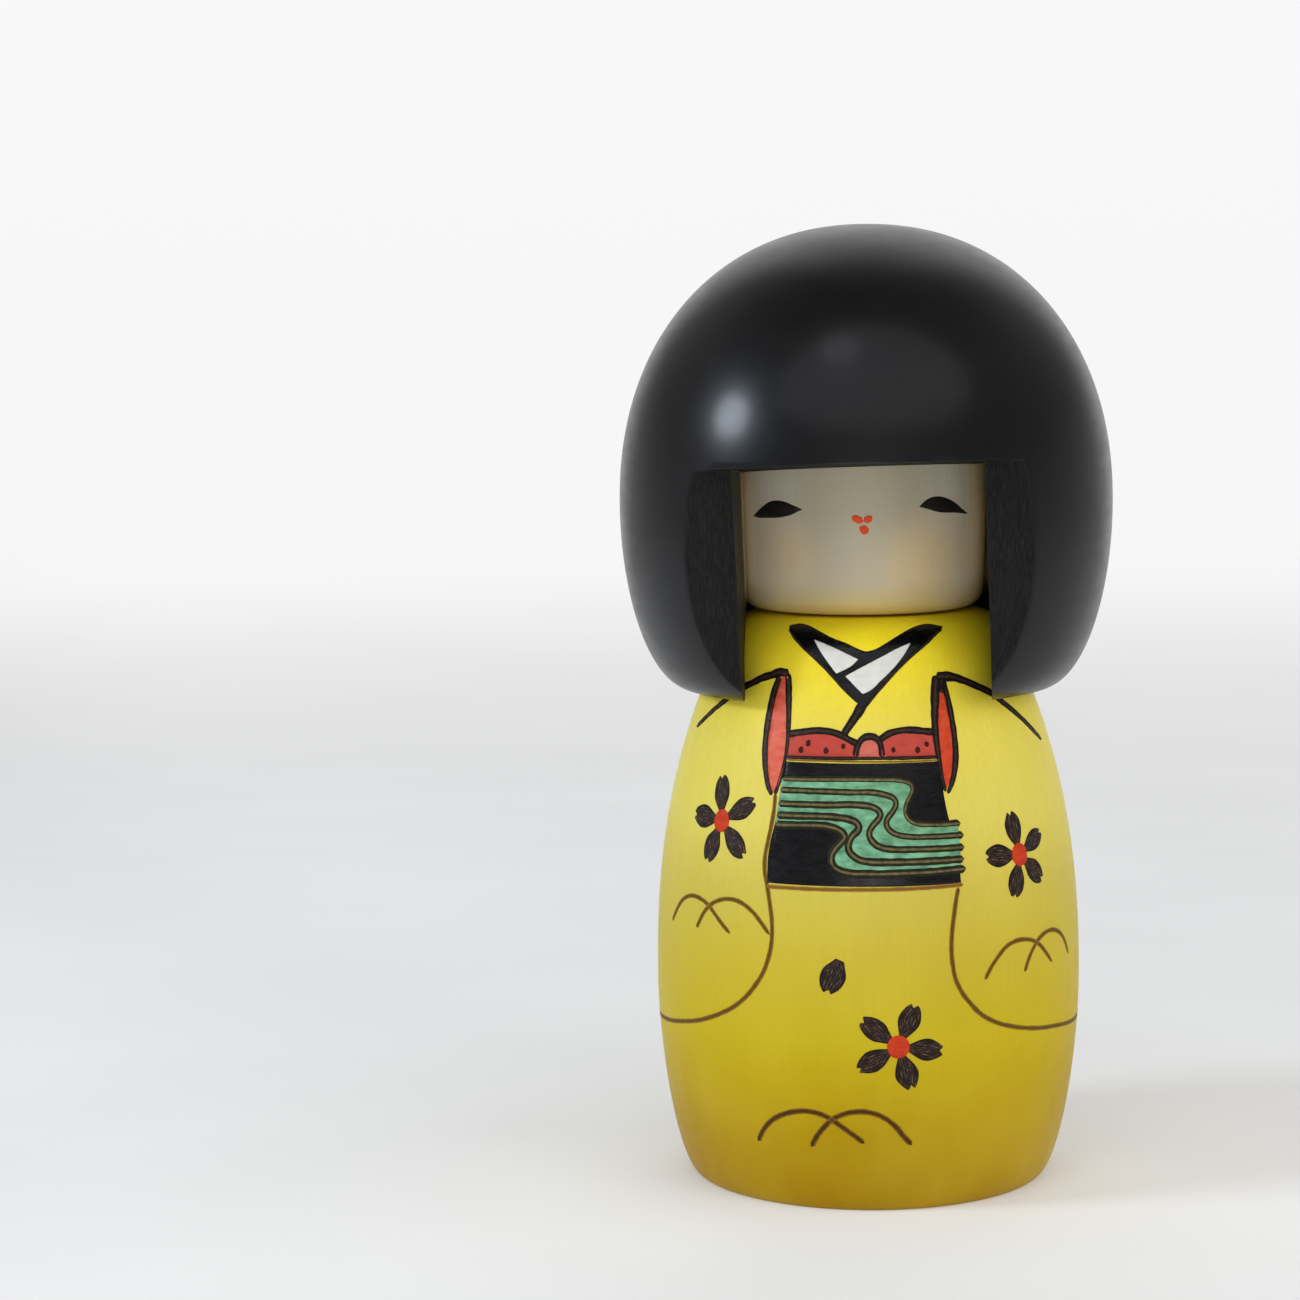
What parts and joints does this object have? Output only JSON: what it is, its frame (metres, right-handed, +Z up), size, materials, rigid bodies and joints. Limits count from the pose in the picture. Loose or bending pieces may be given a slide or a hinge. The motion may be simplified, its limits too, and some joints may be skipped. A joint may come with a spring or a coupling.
{
  "type": "kokeshi doll",
  "caption": "Turned wooden doll with a barrel-shaped kimono body and a swivelling head: a pale round face set in a black bobbed hair cap sawn open at the front.",
  "frame": {"origin": "centre of the flat base, on the turning axis", "axes": "+Z up along the turning axis, -Y out of the doll's face, +X to the viewer's right when facing the doll"},
  "size_m": [0.0772, 0.0767, 0.15],
  "materials": {
    "body_wood": "satin varnish over yellow stain, with burned and painted kimono decoration",
    "face_wood": "matte pale ivory, painted eyes and mouth",
    "hair_wood": "satin black lacquer outside, matte stained end grain on the sawn faces",
    "dowel_wood": "bare turned wood"
  },
  "bodies": {
    "torso": {"body": "body_wood", "neck_dowel": "dowel_wood"},
    "head": {"face_block": "face_wood", "crown_dowel": "dowel_wood", "hair_cap": "hair_wood"}
  },
  "joints": [
    {"name": "head_turn", "type": "hinge", "parent": "torso", "child": "head", "pos_m": [0, 0, 0.09], "axis": [0, 0, 1], "continuous": true}
  ]
}
